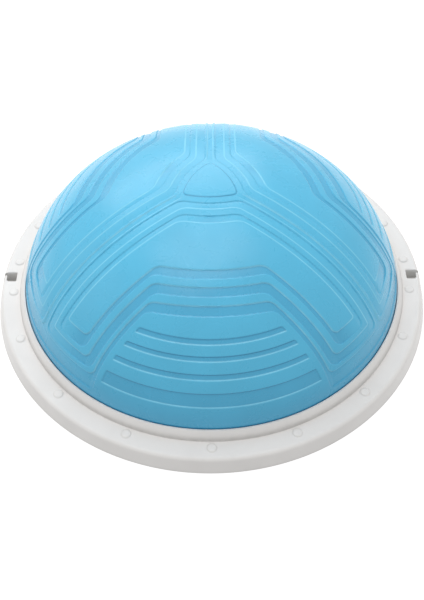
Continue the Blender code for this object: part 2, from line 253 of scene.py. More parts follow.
def mouldedRubber(look):
    mat, shader, where = startMaterial("moulded_black_rubber", Roughness=look["roughness"], IOR=1.52)
    patch = addNode(mat, "ShaderNodeTexNoise",
                    {"Vector": where, "Scale": perMetre(look["patch"]), "Detail": 5.0})
    grain = addNode(mat, "ShaderNodeTexNoise",
                    {"Vector": where, "Scale": perMetre(look["grain"]), "Detail": 2.0})
    share = addNode(mat, "ShaderNodeMapRange",
                    {"Value": patch.outputs["Fac"], "From Min": 0.4, "From Max": 0.75, "To Max": 0.6})
    colour = addNode(mat, "ShaderNodeMix", {"Factor": share.outputs[0], "A": hexColour(look["colour"]),
                                            "B": hexColour(look["bloom"])}, data_type="RGBA")
    link(mat, colour.outputs["Result"], shader.inputs["Base Color"])
    dull = addNode(mat, "ShaderNodeMapRange",
                   {"Value": patch.outputs["Fac"], "From Min": 0.3, "From Max": 0.7,
                    "To Min": look["roughness"] - 0.08, "To Max": look["roughness"] + 0.1})
    link(mat, dull.outputs[0], shader.inputs["Roughness"])
    bump = addNode(mat, "ShaderNodeBump", {"Height": grain.outputs["Fac"], "Strength": 0.35,
                                           "Distance": 0.1 * mm})
    link(mat, bump.outputs[0], shader.inputs["Normal"])
    return mat


# carbon steel, cold headed, zinc plated with a clear passivate: silver with a faint blue and yellow
# cast in patches, and fine lines left by the driver
zincSteel = {
    "colour": "#C9CBCE",
    "cast": "#C8C4B2",
    "roughness": 0.3,
    "patch": 2.2,
    "pit": 0.35,
}


def platedSteel(look):
    mat, shader, where = startMaterial("zinc_plated_steel", Roughness=look["roughness"], Metallic=1.0)
    patch = addNode(mat, "ShaderNodeTexNoise",
                    {"Vector": where, "Scale": perMetre(look["patch"]), "Detail": 3.0})
    pits = addNode(mat, "ShaderNodeTexNoise",
                   {"Vector": where, "Scale": perMetre(look["pit"]), "Detail": 2.0})
    share = addNode(mat, "ShaderNodeMapRange",
                    {"Value": patch.outputs["Fac"], "From Min": 0.4, "From Max": 0.7, "To Max": 0.7})
    colour = addNode(mat, "ShaderNodeMix", {"Factor": share.outputs[0], "A": hexColour(look["colour"]),
                                            "B": hexColour(look["cast"])}, data_type="RGBA")
    link(mat, colour.outputs["Result"], shader.inputs["Base Color"])
    polish = addNode(mat, "ShaderNodeMapRange",
                     {"Value": patch.outputs["Fac"], "From Min": 0.3, "From Max": 0.7,
                      "To Min": look["roughness"] - 0.07, "To Max": look["roughness"] + 0.12})
    link(mat, polish.outputs[0], shader.inputs["Roughness"])
    bump = addNode(mat, "ShaderNodeBump", {"Height": pits.outputs["Fac"], "Strength": 0.2,
                                           "Distance": 0.03 * mm})
    link(mat, bump.outputs[0], shader.inputs["Normal"])
    return mat


# polyethylene, injection moulded: mid grey, waxy and matt, with pale stress marks where it is pinched
greyPlug = {
    "colour": "#8D9297",
    "stress": "#A9ADB1",
    "roughness": 0.46,
    "mark": 2.4,
    "grain": 0.5,
}


def mouldedGrey(look):
    mat, shader, where = startMaterial("moulded_grey_polyethylene", Roughness=look["roughness"], IOR=1.51)
    mark = addNode(mat, "ShaderNodeTexNoise",
                   {"Vector": where, "Scale": perMetre(look["mark"]), "Detail": 4.0, "Distortion": 1.0})
    grain = addNode(mat, "ShaderNodeTexNoise",
                    {"Vector": where, "Scale": perMetre(look["grain"]), "Detail": 2.0})
    share = addNode(mat, "ShaderNodeMapRange",
                    {"Value": mark.outputs["Fac"], "From Min": 0.48, "From Max": 0.75, "To Max": 0.6})
    colour = addNode(mat, "ShaderNodeMix", {"Factor": share.outputs[0], "A": hexColour(look["colour"]),
                                            "B": hexColour(look["stress"])}, data_type="RGBA")
    link(mat, colour.outputs["Result"], shader.inputs["Base Color"])
    waxy = addNode(mat, "ShaderNodeMapRange",
                   {"Value": mark.outputs["Fac"], "From Min": 0.3, "From Max": 0.7,
                    "To Min": look["roughness"] - 0.06, "To Max": look["roughness"] + 0.08})
    link(mat, waxy.outputs[0], shader.inputs["Roughness"])
    bump = addNode(mat, "ShaderNodeBump", {"Height": grain.outputs["Fac"], "Strength": 0.2,
                                           "Distance": 0.04 * mm})
    link(mat, bump.outputs[0], shader.inputs["Normal"])
    return mat


vinylMaterial = mouldedVinyl(vinyl)
whiteMaterial = mouldedWhite(whiteShell)
rubberMaterial = mouldedRubber(blackRubber)
steelMaterial = platedSteel(zincSteel)
greyMaterial = mouldedGrey(greyPlug)
print("materials made")


# helpers for meshes
# an object from points and faces, placed, given its material and made to ride on its body
def addPiece(name, mesh, mat, body, nodes, place=None):
    piece = bpy.data.objects.new(name, mesh)
    scene.collection.objects.link(piece)
    if not mesh.materials:
        mesh.materials.append(mat)
    if place is not None:
        piece.matrix_world = place
    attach(piece, body)
    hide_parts(*nodes)
    return piece


def smoothShade(mesh, degrees=32):
    mesh.shade_smooth()
    mesh.set_sharp_from_angle(angle=math.radians(degrees))


# corners are (radius, height, fillet); the line through them with each corner rounded
def filleted(corners, closed=True, steps=5):
    line = []
    count = len(corners)
    for i, (r, z, fillet) in enumerate(corners):
        here = Vector((r, z))
        if fillet <= 0 or (not closed and i in (0, count - 1)):
            line.append((r, z))
            continue
        before = (Vector(corners[i - 1][:2]) - here)
        after = (Vector(corners[(i + 1) % count][:2]) - here)
        spread = before.angle(after)
        back = min(fillet / math.tan(spread / 2), 0.49 * before.length, 0.49 * after.length)
        radius = back * math.tan(spread / 2)
        start = here + before.normalized() * back
        end = here + after.normalized() * back
        inward = (before.normalized() + after.normalized()).normalized()
        middle = here + inward * (radius / math.sin(spread / 2))
        first = start - middle
        sweep = first.angle_signed(end - middle)
        for k in range(steps + 1):
            turn = -sweep * k / steps
            arm = Vector((first.x * math.cos(turn) - first.y * math.sin(turn),
                          first.x * math.sin(turn) + first.y * math.cos(turn)))
            line.append(tuple(middle + arm))
    return line


# more points along a line, so that none of its edges is longer than step
def refined(line, step, closed=True):
    fine = []
    count = len(line) if closed else len(line) - 1
    for i in range(count):
        a, b = Vector(line[i]), Vector(line[(i + 1) % len(line)])
        parts = max(1, math.ceil((b - a).length / step))
        fine += [tuple(a.lerp(b, k / parts)) for k in range(parts)]
    return fine if closed else fine + [line[-1]]


# a section of (radius, height) turned about Z through the given angles
def turnedMesh(name, section, angles, closed=True):
    section = [p for i, p in enumerate(section) if i == 0 or math.dist(p, section[i - 1]) > 1e-7]
    count, turns = len(section), len(angles)
    points = [(r * math.cos(a), r * math.sin(a), z) for a in angles for r, z in section]
    faces = []
    for j in range(turns):
        here, there = j * count, (j + 1) % turns * count
        for i in range(count if closed else count - 1):
            k = (i + 1) % count
            faces.append((here + i, here + k, there + k, there + i))
    mesh = bpy.data.meshes.new(name)
    mesh.from_pydata(points, [], faces)
    bm = bmesh.new()
    bm.from_mesh(mesh)
    onAxis = [v for v in bm.verts if math.hypot(v.co.x, v.co.y) < 1e-6]
    bmesh.ops.remove_doubles(bm, verts=onAxis, dist=1e-7)
    bmesh.ops.dissolve_degenerate(bm, dist=1e-8, edges=bm.edges)
    bmesh.ops.recalc_face_normals(bm, faces=bm.faces)
    bm.to_mesh(mesh)
    bm.free()
    return mesh


def evenAngles(count):
    return [2 * math.pi * k / count for k in range(count)]


# closed body through stacked loops of equal length, capped at both ends
def loftInto(bm, loops):
    rings = [[bm.verts.new(p) for p in loop] for loop in loops]
    for a, b in zip(rings, rings[1:]):
        for i in range(len(a)):
            k = (i + 1) % len(a)
            bm.faces.new((a[i], a[k], b[k], b[i]))
    bm.faces.new(rings[0][::-1])
    bm.faces.new(rings[-1])


def meshFrom(bm, name):
    bmesh.ops.recalc_face_normals(bm, faces=bm.faces)
    mesh = bpy.data.meshes.new(name)
    bm.to_mesh(mesh)
    bm.free()
    return mesh


def pointsOf(mesh):
    co = np.empty(len(mesh.vertices) * 3)
    mesh.vertices.foreach_get("co", co)
    return co.reshape(-1, 3)


def addLayer(mesh, name, values):
    layer = mesh.attributes.new(name, "FLOAT", "POINT")
    layer.data.foreach_set("value", values.astype(np.float32))


def roundPost(x, y, radius, low, high, segments=24):
    loop = [(x + radius * math.cos(a), y + radius * math.sin(a)) for a in evenAngles(segments)]
    return [[(*p, z) for p in loop] for z in (low, high)]


# the mesh after each tool mesh has been added to it or cut from it
def carved(mesh, steps):
    work = bpy.data.objects.new("work", mesh)
    scene.collection.objects.link(work)
    tools = []
    for operation, toolMesh in steps:
        tool = bpy.data.objects.new("tool", toolMesh)
        scene.collection.objects.link(tool)
        cut = work.modifiers.new("cut", "BOOLEAN")
        cut.operation = operation
        cut.solver = "EXACT"
        cut.object = tool
        tools.append(tool)
    bpy.context.view_layer.update()
    result = bpy.data.meshes.new_from_object(work.evaluated_get(bpy.context.evaluated_depsgraph_get()))
    result.name = mesh.name
    for obj in (work, *tools):
        bpy.data.objects.remove(obj)
    return result


# the dome
domeLow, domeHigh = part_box("dome_bladder")
ringLow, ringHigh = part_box("clamp_ring")
ringFoot = ringLow.z

# sizes in metres; powerR and powerZ set how full the dome's outline is
domeShape = {
    "radius": domeHigh.x - 0.0067,
    "equator": ringFoot + 0.0287,
    "powerR": 2.1,
    "powerZ": 1.8,
    "skin": 0.004,
    "flange": 0.004,
    "rowStep": 0.00085,
    "columns": 1920,
    # painted shade: a dark line where the dome meets the ring, and a wide darkening of the skin toward it
    "jointShadowLine": (0.55, 1.4),    # strength, and mm of height over which it fades
    "jointShade": (0.3, 35.0),
}
domeRise = domeHigh.z - domeShape["equator"]

# the moulded pattern, in millimetres seen from above: three equal sectors, each mirrored about its
# middle. side is the distance from the line between two sectors, arch the distance out along the middle
# (arches are struck from a centre archBack behind the axis).
pattern = {
    "archBack": 72.0,
    "plateEdge": 26.0,
    "plateCorner": 5.0,
    "plateRise": 1.0,
    "archCorner": 6.0,
    "centreGroove": 3.7,
    "steepWall": 0.7,
    "softWall": 0.9,
    "deepInside": 1.25,
    "deepOutside": 1.6,
    "shallowInside": 0.2,
    "shallowOutside": 0.9,
    "grooveStart": (40.0, 62.0),
    "trapezoid": (106.0, 180.0),
    "outerRidge": (100.6, 169.5),
    "legEnd": (250.5, 257.0),
    "bars": ((201.0, 206.0), (216.0, 220.0), (229.8, 234.0), (243.0, 251.0)),
    "barSide": 114.0,
    "barDepth": 1.2,
    # each loop: inner channel from and to (side, arch), outer channel from and to, and the channel at
    # the leg's end
    "loops": (
        ((27.0, 56.5), (34.0, 67.0), (70.3, 129.5), (76.0, 140.0), (229.0, 238.8)),
        ((6.6, 36.0), (18.8, 46.0), (85.0, 149.5), (95.8, 160.0), (242.5, 247.8)),
    ),
    "valvePad": 15.0,
}


def ease(value):
    t = np.clip(value, 0.0, 1.0)
    return t * t * (3 - 2 * t)


# distance inside two edges whose shared corner is rounded
def within(a, b, corner):
    inside = np.maximum(corner, np.minimum(a, b))
    return inside - np.hypot(np.maximum(corner - a, 0), np.maximum(corner - b, 0))


# how far each point of the skin stands below the smooth dome, in mm, how much the whole crown is lowered,
# how much painted highlight lies on it at a ridge's edge, and how much painted shade lies on it at a wall's
# foot, in channel and bar floors and round the plate
def moulding(x, y, lean, design):
    reach = np.maximum(np.hypot(x, y), 1e-6)
    sector = 2 * math.pi / 3
    turn = np.abs((np.arctan2(y, x) + math.pi / 2 + sector / 2) % sector - sector / 2)
    across, along = reach * np.sin(turn), reach * np.cos(turn)
    side = math.sin(sector / 2) * along - math.cos(sector / 2) * across
    armLength = np.hypot(across, along + design["archBack"])
    arch = armLength - design["archBack"]
    nextAcross, nextAlong = reach * np.sin(sector - turn), reach * np.cos(sector - turn)
    nextArch = np.hypot(nextAcross, nextAlong + design["archBack"]) - design["archBack"]

    # a step seen from above is longer on the leaning skin
    flat = 1 / np.sqrt(1 - lean ** 2)
    flatSide = 1 / np.sqrt(1 - (lean * side / reach) ** 2)
    facing = (across ** 2 + along * (along + design["archBack"])) / (armLength * reach)
    flatArch = 1 / np.sqrt(1 - (lean * facing) ** 2)

    def chevron(place):
        return within((side - place[0]) * flatSide, (arch - place[1]) * flatArch, design["archCorner"])

    def short(limit):
        return (limit - reach) * flat

    def step(distance, wall):
        return ease(distance / wall + 0.5)

    # share of the way from a channel's steep wall to its soft one
    def shareAcross(start, end):
        a, b = np.maximum(start, 0), np.maximum(-end, 0)
        return a / (a + b + 1e-6)

    def near(distance, width):
        return np.exp(-(distance / width) ** 2)

    depth = np.zeros_like(reach)
    edge = np.zeros_like(reach)
    paintedCreaseShade = np.zeros_like(reach)
    steep, soft = design["steepWall"], design["softWall"]

    def sink(big, hole, startA, endA, startB, endB, widthA, widthB):
        legShare = ease((side - widthA) / (widthB - widthA))
        # a channel's floor is hollow: it climbs fastest beside the steep wall
        ramp = (shareAcross(startA, endA) * (1 - legShare) + shareAcross(startB, endB) * legShare) ** 0.6
        deep = design["deepInside"] * (1 - legShare) + design["deepOutside"] * legShare
        shallow = design["shallowInside"] * (1 - legShare) + design["shallowOutside"] * legShare
        floor = step(big, steep) * (1 - step(hole, soft))
        sunk = floor * (deep + (shallow - deep) * ramp)
        # a painted highlight runs along the soft wall's upper edge, and painted shade lies at the foot of
        # both walls and over the legs' floors
        foot = np.maximum((0.1 + 0.4 * legShare) * near(big - 0.4, 0.6) * step(big, steep),
                          0.6 * near(hole + 1.0, 0.6) * step(big, steep) * legShare)
        foot = np.maximum(foot, 0.26 * legShare * floor)
        return sunk, near(hole, 0.7) * step(big, soft), foot

    def add(sunk, paintedHighlight, dark):
        nonlocal depth, edge, paintedCreaseShade
        depth, edge, paintedCreaseShade = np.maximum(depth, sunk), np.maximum(edge, paintedHighlight), np.maximum(paintedCreaseShade, dark)

    for start, end, outStart, outEnd, ends in design["loops"]:
        legCorner = 3.0 + 5.0 * ease((side - end[0]) / (outStart[0] - end[0]))
        a, b, c, d = chevron(start), chevron(end), chevron(outStart), chevron(outEnd)
        big = within(np.minimum(a, -d), short(ends[1]), legCorner + 3.0)
        hole = within(np.minimum(b, -c), short(ends[0]), legCorner)
        add(*sink(big, hole, a, b, c, d, end[0], outStart[0]))

    # the last channel runs between the sectors, along the ends of the legs and round the trapezoid
    trapezoid, ridge = chevron(design["trapezoid"]), chevron(design["outerRidge"])
    middle = (side - design["centreGroove"]) * flatSide
    big = within(-trapezoid, short(design["legEnd"][1]), 6.0)
    hole = within(np.minimum(middle, -ridge), short(design["legEnd"][0]), 8.0)
    sunk, paintedHighlight, dark = sink(big, hole, middle * 0, -np.ones_like(middle), ridge, trapezoid,
                              34.0, design["outerRidge"][0])
    grooveFrom, grooveFull = design["grooveStart"]
    begun = ease((reach - grooveFrom) / (grooveFull - grooveFrom))
    add(sunk * begun, paintedHighlight * begun, dark * begun)

    barSide = (side - design["barSide"]) * flatSide
    for low, high in design["bars"]:
        bar = within(np.minimum((reach - low), (high - reach)) * flat, barSide, 2.0)
        upper = (reach - low) * flat
        lower = (high - reach) * flat
        # painted shade at the foot of each bar's walls and over its floor, painted highlight along its
        # lower edge
        foot = np.maximum(near(upper - 0.4, 0.6), 0.6 * near(lower - 1.0, 0.6))
        add(design["barDepth"] * step(bar, steep), near(lower, 0.7) * step(barSide, steep),
            np.maximum(foot, 0.26) * step(bar, steep))

    # the whole crown sits a little lower, so that the raised plate reaches the dome's full height
    plate = within((design["plateEdge"] - arch) * flatArch, (design["plateEdge"] - nextArch) * flatArch,
                   design["plateCorner"])
    lowered = design["plateRise"] * (1 - step(plate, steep)) * (1 - ease((reach - 90.0) / 100.0))
    # painted shade in a thin line round the plate
    paintedCreaseShade = np.maximum(paintedCreaseShade, 0.7 * near(plate + 0.4, 0.5))
    return depth, lowered, edge, paintedCreaseShade


def domeOutline(shrink, step):
    t = np.linspace(0, math.pi / 2, 20001)
    r = (domeShape["radius"] - shrink) * np.sin(t) ** (2 / domeShape["powerR"])
    z = (domeRise - shrink) * np.clip(np.cos(t), 0, None) ** (2 / domeShape["powerZ"])
    length = np.concatenate(([0], np.cumsum(np.hypot(np.diff(r), np.diff(z)))))
    places = np.linspace(0, length[-1], max(2, int(length[-1] / step)))
    rr, zz = np.interp(places, length, r), np.interp(places, length, z)
    zz[-1] = 0.0
    return rr, zz


# faces between rings of points; a ring may have half or twice as many points as the one before it
def ringFaces(starts, counts):
    faces = []
    for (a, n), (b, m) in zip(zip(starts, counts), zip(starts[1:], counts[1:])):
        if n == m:
            i = np.arange(n)
            k = (i + 1) % n
            faces.append(np.stack([a + i, b + i, b + k, a + k], 1))
        else:
            flip = n > m
            fine, coarse, most = (a, b, n) if flip else (b, a, m)
            j = np.arange(most // 2)
            f0, f1, f2 = fine + 2 * j, fine + 2 * j + 1, fine + (2 * j + 2) % most
            c0, c1 = coarse + j, coarse + (j + 1) % (most // 2)
            for tri in ((f0, c0, f1), (f1, c0, c1), (f1, c1, f2)):
                tri = tri if flip else tri[::-1]
                faces.append(np.stack([*tri, tri[0]], 1))
    return faces


def fillMesh(mesh, points, faces):
    loops, starts, at = [], [], 0
    for block in faces:
        triangles = (block[:, 0] == block[:, 3]).all()
        used = block[:, :3] if triangles else block
        width = used.shape[1]
        loops.append(used.ravel())
        starts.append(at + width * np.arange(len(used)))
        at += used.size
    loops, starts = np.concatenate(loops), np.concatenate(starts)
    mesh.vertices.add(len(points))
    mesh.vertices.foreach_set("co", np.asarray(points, np.float32).ravel())
    mesh.loops.add(len(loops))
    mesh.loops.foreach_set("vertex_index", loops.astype(np.int32))
    mesh.polygons.add(len(starts))
    mesh.polygons.foreach_set("loop_start", starts.astype(np.int32))
    mesh.update(calc_edges=True)
    mesh.validate()


def columnsAt(radius, most):
    count = most
    for limit in (0.150, 0.075, 0.036, 0.015):
        if radius < limit:
            count //= 2
    return count


valvePlace = {"reach": 0.2405, "flange": 0.0100, "lift": 0.0007}


def skinAt(reach):
    share = reach / domeShape["radius"]
    rest = 1 - share ** domeShape["powerR"]
    height = domeRise * rest ** (1 / domeShape["powerZ"])
    fall = (domeRise * domeShape["powerR"] / (domeShape["powerZ"] * domeShape["radius"])
            * share ** (domeShape["powerR"] - 1) * rest ** (1 / domeShape["powerZ"] - 1))
    return height, fall


def valveMatrix():
    height, fall = skinAt(valvePlace["reach"])
    normal = Vector((0.0, fall, 1.0)).normalized()
    at = Vector((0.0, valvePlace["reach"], domeShape["equator"] + height))
    return Matrix.Translation(at) @ normal.to_track_quat("Z", "Y").to_matrix().to_4x4()


def makeDomeSkin():
    shape = domeShape
    outR, outZ = domeOutline(0.0, shape["rowStep"])
    low = domeLow.z
    wall = shape["radius"]
    flangeTop = low + shape["flange"]
    inner = wall - shape["skin"]
    inR, inZ = domeOutline(shape["skin"], 0.006)
    outDrop = np.linspace(shape["equator"], flangeTop, 12)[1:]
    rows = [(r, z + shape["equator"], True) for r, z in zip(outR, outZ)][1:]
    rows += [(wall, z, False) for z in outDrop]
    rows += [(domeHigh.x - 0.0006, flangeTop, False), (domeHigh.x, flangeTop - 0.0006, False),
             (domeHigh.x, low + 0.0006, False), (domeHigh.x - 0.0006, low, False),
             (inner, low, False), (inner, shape["equator"] - 0.006, False)]
    rows += [(r, z + shape["equator"], False) for r, z in zip(inR[::-1], inZ[::-1])][:-1]
    lastOutside = len(outR) + 15
    counts = []
    for i, (r, z, patterned) in enumerate(rows):
        wanted = columnsAt(r, shape["columns"])
        if i > lastOutside:
            wanted = min(wanted, max(counts[-1] // 2, 180 if r > 0.036 else 45))
        counts.append(wanted)
    points, starts, paintedCreaseShades, edges = [], [], [], []
    total = 0
    # slope of the outline at each patterned row
    dr, dz = np.gradient(outR), np.gradient(outZ)
    lean = np.clip(-dz / np.hypot(dr, dz), 0.0, 0.995)[1:]
    pad = valveMatrix()
    padCentre = np.array(pad.translation)
    for i, ((r, z, patterned), n) in enumerate(zip(rows, counts)):
        a = 2 * math.pi * np.arange(n) / n
        x, y = r * np.cos(a), r * np.sin(a)
        # rows off the pattern, hidden under the ring and inside, are painted wholly in the shade colour
        paintedCreaseShade, edge = np.ones(n), np.zeros(n)
        if patterned:
            slope = np.full(n, lean[i])
            depth, lowered, edge, paintedCreaseShade = moulding(x / mm, y / mm, slope, pattern)
            away = np.sqrt((x - padCentre[0]) ** 2 + (y - padCentre[1]) ** 2 + (z - padCentre[2]) ** 2) / mm
            clear = ease((away - pattern["valvePad"]) / 3.0) * ease((z - shape["equator"]) / 0.008)
            # painted shade: darker toward the ring, with a painted shadow line where they meet
            above = (z - ringHigh.z) / mm
            joint = sum(strength * math.exp(-(above / spread) ** 2)
                        for strength, spread in (shape["jointShadowLine"], shape["jointShade"]))
            edge, paintedCreaseShade = edge * clear, np.clip(np.maximum(paintedCreaseShade * clear, joint), 0.0, 1.0)
            inward = (depth * clear + lowered) * mm
            up = math.sqrt(1 - lean[i] ** 2)
            shrink = 1 - inward * lean[i] / r
            x, y = x * shrink, y * shrink
            zs = z - inward * up
        else:
            zs = np.full(n, z)
        starts.append(total)
        total += n
        points.append(np.stack([x, y, np.broadcast_to(zs, x.shape)], 1))
        paintedCreaseShades.append(paintedCreaseShade)
        edges.append(edge)
    faces = ringFaces(starts, counts)
    topCentre, bottomCentre = total, total + 1
    crown = domeHigh.z
    points.append(np.array([[0, 0, crown], [0, 0, crown - shape["skin"]]]))
    paintedCreaseShades.append(np.zeros(2))
    edges.append(np.zeros(2))
    i = np.arange(counts[0])
    k = (i + 1) % counts[0]
    faces.append(np.stack([np.full(len(i), topCentre), i, k, np.full(len(i), topCentre)], 1))
    i = np.arange(counts[-1])
    k = (i + 1) % counts[-1]
    faces.append(np.stack([np.full(len(i), bottomCentre), starts[-1] + k, starts[-1] + i,
                           np.full(len(i), bottomCentre)], 1))
    mesh = bpy.data.meshes.new("domeSkin")
    fillMesh(mesh, np.concatenate(points), faces)
    addLayer(mesh, "paintedCreaseShade", np.concatenate(paintedCreaseShades))
    addLayer(mesh, "paintedHighlightEdge", np.concatenate(edges))
    smoothShade(mesh, 60)
    return mesh


domeMesh = makeDomeSkin()
addPiece("domeSkin", domeMesh, vinylMaterial, "trainer", ["dome_bladder"])
print("dome moulded,", len(domeMesh.polygons), "faces")


# the clamp ring
ringShape = {
    "radius": ringHigh.x,
    "skin": 0.0030,
    "wallTop": 0.2944,       # where the leaning wall would meet the shelf
    "edgeRound": 0.0056,
    "shelf": 0.0225,
    "collarFoot": 0.2690,
    "collarTop": 0.2621,
    "collarBulge": (0.2677, 0.0070),   # radius, and height above the shelf, where the collar is fullest
    "bore": 0.2598,
    "skirt": 0.2665,
    "skirtFoot": 0.0118,
    "screwCircle": 0.2778,
    "capHeight": 0.0014,
    "capFlat": 4.9,          # mm from the cap's centre where its side begins
    "capFoot": 6.7,          # mm where it runs out into the shelf
    "boss": 0.0045,
    "bossFoot": 0.0058,
    "pilot": 0.0020,
}
notchShape = {
    "start": -0.0026,        # y of its near and far walls, the same on both sides
    "end": 0.0134,
    "inner": 0.2768,
    "pocketWall": 0.0028,
    "hookExtra": 0.0012,     # how much thicker the hook is than the wall beside it
    "mouthStart": 0.0087,
    "round": 0.0015,
    "corner": 0.0012,
    "turn": 1.0,             # degrees behind the X axis
    "screwsBeside": 5.9,     # degrees from the notch to the screws beside it
}


def screwAngles():
    angles = []
    turn, beside = notchShape["turn"], notchShape["screwsBeside"]
    atNotch = {4: (turn - beside, turn + beside), 12: (-turn - beside, -turn + beside)}
    for k in range(16):
        angle = -math.pi / 2 + k * math.radians(22.5)
        angles += [angle + math.radians(offset) for offset in atNotch.get(k, (0.0,))]
    return angles


def roundedBox(lowX, highX, lowY, highY, corner, z, steps=4):
    loop = []
    for cx, cy, start in ((highX - corner, highY - corner, 0), (lowX + corner, highY - corner, 90),
                          (lowX + corner, lowY + corner, 180), (highX - corner, lowY + corner, 270)):
        for k in range(steps + 1):
            a = math.radians(start + 90 * k / steps)
            loop.append((cx + corner * math.cos(a), cy + corner * math.sin(a), z))
    return loop


def mirrored(loops):
    return [[(-x, y, z) for x, y, z in loop] for loop in loops]


def makeRing():
    s, foot = ringShape, ringFoot
    under = s["shelf"] - s["skin"]
    slope = (s["radius"] - s["wallTop"]) / s["shelf"]
    innerFoot = s["radius"] - s["skin"]
    corners = [
        (s["bore"], ringHigh.z - foot, 0.0004),
        (s["collarTop"], ringHigh.z - foot, 0.0006),
        (s["collarBulge"][0], s["shelf"] + s["collarBulge"][1], 0.0120),
        (s["collarFoot"], s["shelf"], 0.0007),
        (s["wallTop"], s["shelf"], s["edgeRound"]),
        (s["radius"], 0.0, 0.0004),
        (innerFoot, 0.0, 0.0004),
        (innerFoot - slope * under, under, 0.0012),
        (s["skirt"], under, 0.0006),
        (s["skirt"], s["skirtFoot"], 0.0003),
        (s["bore"], s["skirtFoot"], 0.0003),
    ]
    section = filleted([(r, z + foot, f) for r, z, f in corners], steps=6)
    section = refined(section, 0.0009)
    # columns stand closer together at the caps
    angles = set(round(a, 6) for a in evenAngles(480))
    for centre in screwAngles():
        for k in range(-15, 16):
            angles.add(round((centre + math.radians(0.115 * k)) % (2 * math.pi), 6))
    ordered = sorted(angles)
    kept = [ordered[0]]
    for a in ordered[1:]:
        if a - kept[-1] > math.radians(0.06):
            kept.append(a)
    mesh = turnedMesh("clampRing", section, kept)

    # low caps rise out of the shelf over the screws
    co = pointsOf(mesh)
    shelf = (co[:, 2] > foot + s["shelf"] - 0.0002) & (co[:, 2] < foot + s["shelf"] + 0.0012)
    for angle in screwAngles():
        away = np.hypot(co[:, 0] - s["screwCircle"] * math.cos(angle),
                        co[:, 1] - s["screwCircle"] * math.sin(angle)) / mm
        rise = 1 - ease((away - s["capFlat"]) / (s["capFoot"] - s["capFlat"]))
        crown = 0.14 * np.clip(1 - (away / s["capFlat"]) ** 2, 0, 1)
        co[:, 2] += np.where(shelf, (rise * 0.86 + crown) * s["capHeight"], 0.0)
    mesh.vertices.foreach_set("co", co.ravel())

    n = notchShape
    top = foot + s["shelf"]

    # radius of the leaning wall's inner face at a height
    def wallInside(z):
        return innerFoot - slope * (z - foot)

    pocket, cutter, mouth = bmesh.new(), bmesh.new(), bmesh.new()
    block = []
    for z in (foot + s["bossFoot"], top - s["skin"] / 2):
        block.append(roundedBox(n["inner"] - n["pocketWall"], wallInside(z) + s["skin"] / 2,
                                n["start"] - n["pocketWall"], n["end"] + n["pocketWall"], 0.002, z))
    flare = []
    for z in (foot - 0.004, top - n["round"]):
        hook = wallInside(z) - n["hookExtra"]
        flare.append(roundedBox(n["inner"], hook, n["start"], n["end"], n["corner"], z))
    for k in range(1, 6):
        a = math.pi / 2 * k / 5
        z = top - n["round"] + n["round"] * math.sin(a)
        out = n["round"] * (1 - math.cos(a))
        flare.append(roundedBox(n["inner"] - out, wallInside(z) - n["hookExtra"] + out * 0.5,
                                n["start"] - out, n["end"] + out, n["corner"] + out, z))
    flare.append([(x, y, top + 0.004) for x, y, z in flare[-1]])
    # the hook's tip is round: the mouth's near edge is a hollow half circle
    tipRadius = s["skin"] / 2 + 0.0002
    tipAt = wallInside(top) + s["skin"] / 2
    tip = []
    for degrees in range(180, -1, -20):
        a = math.radians(degrees)
        tip.append((tipAt + tipRadius * math.cos(a) * 1.02,
                    n["mouthStart"] - tipRadius + tipRadius * math.sin(a)))
    outline = [(tipAt - 0.006, n["mouthStart"] - tipRadius)] + tip + [
        (s["radius"] + 0.004, n["mouthStart"] - tipRadius), (s["radius"] + 0.004, n["end"]),
        (tipAt - 0.006, n["end"])]
    outline = outline[::-1]
    gap = [[(x, y, z) for x, y in outline] for z in (foot - 0.004, top + 0.004)]
    for bm, loops in ((pocket, block), (cutter, flare), (mouth, gap)):
        loftInto(bm, loops)
        loftInto(bm, mirrored(loops))
    for angle in screwAngles():
        x, y = s["screwCircle"] * math.cos(angle), s["screwCircle"] * math.sin(angle)
        loftInto(pocket, roundPost(x, y, s["boss"], foot + s["bossFoot"], top - s["skin"] / 2))
        loftInto(cutter, roundPost(x, y, s["pilot"], foot - 0.004, foot + 0.017, 16))
    mesh = carved(mesh, [("UNION", meshFrom(pocket, "pocket")), ("DIFFERENCE", meshFrom(cutter, "cutter")),
                         ("DIFFERENCE", meshFrom(mouth, "mouth"))])
    # painted shade darkens the collar toward its foot, a ring round each cap, the lower edge and the
    # notches deeper down
    co = pointsOf(mesh)
    reach = np.hypot(co[:, 0], co[:, 1])
    onCollar = ease((co[:, 2] - top) / 0.0010) * (reach < s["collarFoot"] + 0.0008)
    paintedShade = np.exp(-((co[:, 2] - top) / 0.0065) ** 2) * onCollar
    for angle in screwAngles():
        away = np.hypot(co[:, 0] - s["screwCircle"] * math.cos(angle),
                        co[:, 1] - s["screwCircle"] * math.sin(angle)) / mm
        roundCap = np.exp(-((away - s["capFoot"] + 0.5) / 0.7) ** 2) * (co[:, 2] > top - 0.0002)
        paintedShade = np.maximum(paintedShade, 0.35 * roundCap)
    atFloor = np.exp(-((co[:, 2] - foot) / 0.0025) ** 2)
    fromMiddle = np.abs(co[:, 1] - (n["start"] + n["end"]) / 2)
    inNotch = (np.abs(co[:, 0]) > n["inner"] - 0.0005) & (fromMiddle < (n["end"] - n["start"]) / 2 + 0.0005)
    paintedShade = np.maximum(paintedShade, 1.6 * ease((top - 0.0006 - co[:, 2]) / 0.003) * inNotch)
    addLayer(mesh, "paintedShade", np.maximum(paintedShade, atFloor * 0.4))
    smoothShade(mesh, 34)
    return mesh


addPiece("clampRing", makeRing(), whiteMaterial, "trainer", ["clamp_ring"])
print("clamp ring moulded")


